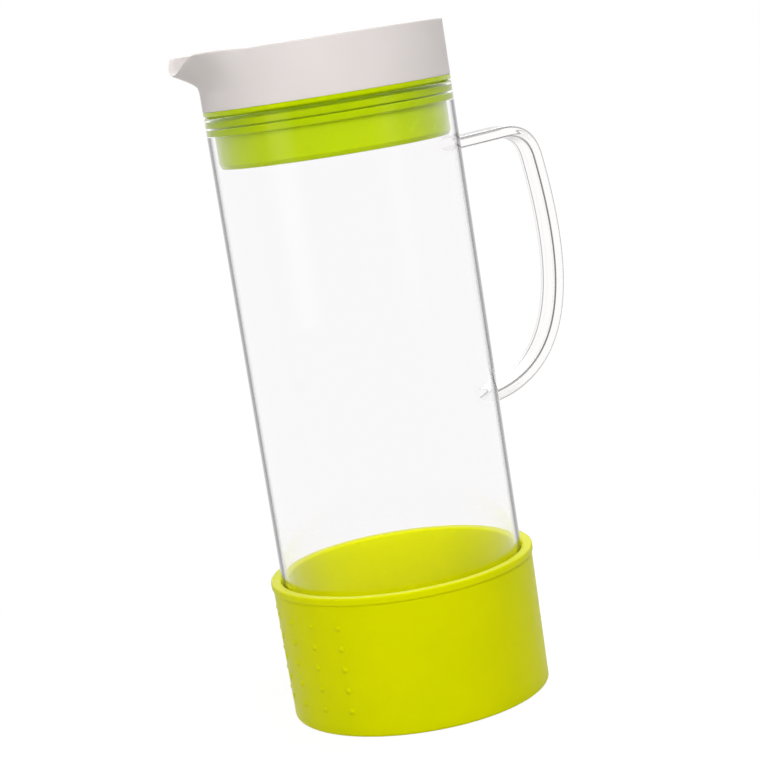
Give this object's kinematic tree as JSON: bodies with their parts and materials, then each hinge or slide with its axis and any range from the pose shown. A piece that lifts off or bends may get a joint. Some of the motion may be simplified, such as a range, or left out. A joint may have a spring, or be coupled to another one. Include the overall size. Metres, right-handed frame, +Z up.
{
  "type": "glass water pitcher",
  "caption": "Cylindrical glass pitcher with a flat strap handle, a push-in lid with a pouring beak and silicone stopper, and a silicone boot round its base.",
  "frame": {"origin": "middle of the boot's flat underside, where the pitcher stands", "axes": "+Z up along the jug's axis, +X towards the handle, -X towards the beak, -Y towards the boot's bare panel"},
  "size_m": [0.1524, 0.1092, 0.2743],
  "materials": {
    "lime_silicone": "satin moulded silicone, slightly translucent",
    "clear_glass": "clear polished borosilicate glass",
    "lid_plastic": "satin moulded polypropylene"
  },
  "bodies": {
    "boot": {"base_sleeve": "lime_silicone"},
    "jug": {"glass_body": "clear_glass", "glass_handle": "clear_glass"},
    "stopper": {"stopper_seal": "lime_silicone"},
    "lid": {"lid_cap": "lid_plastic", "lid_plug": "lid_plastic", "lid_strainer": "lid_plastic"}
  },
  "joints": [
    {"name": "jug_lift", "type": "slide", "parent": "boot", "child": "jug", "axis": [0, 0, 1], "range_m": [0, 0.07]},
    {"name": "lid_lift", "type": "slide", "parent": "jug", "child": "stopper", "axis": [0, 0, 1], "range_m": [0, 0.08]},
    {"name": "lid_turn", "type": "hinge", "parent": "stopper", "child": "lid", "pos_m": [0, 0, 0.25], "axis": [0, 0, 1], "continuous": true}
  ]
}
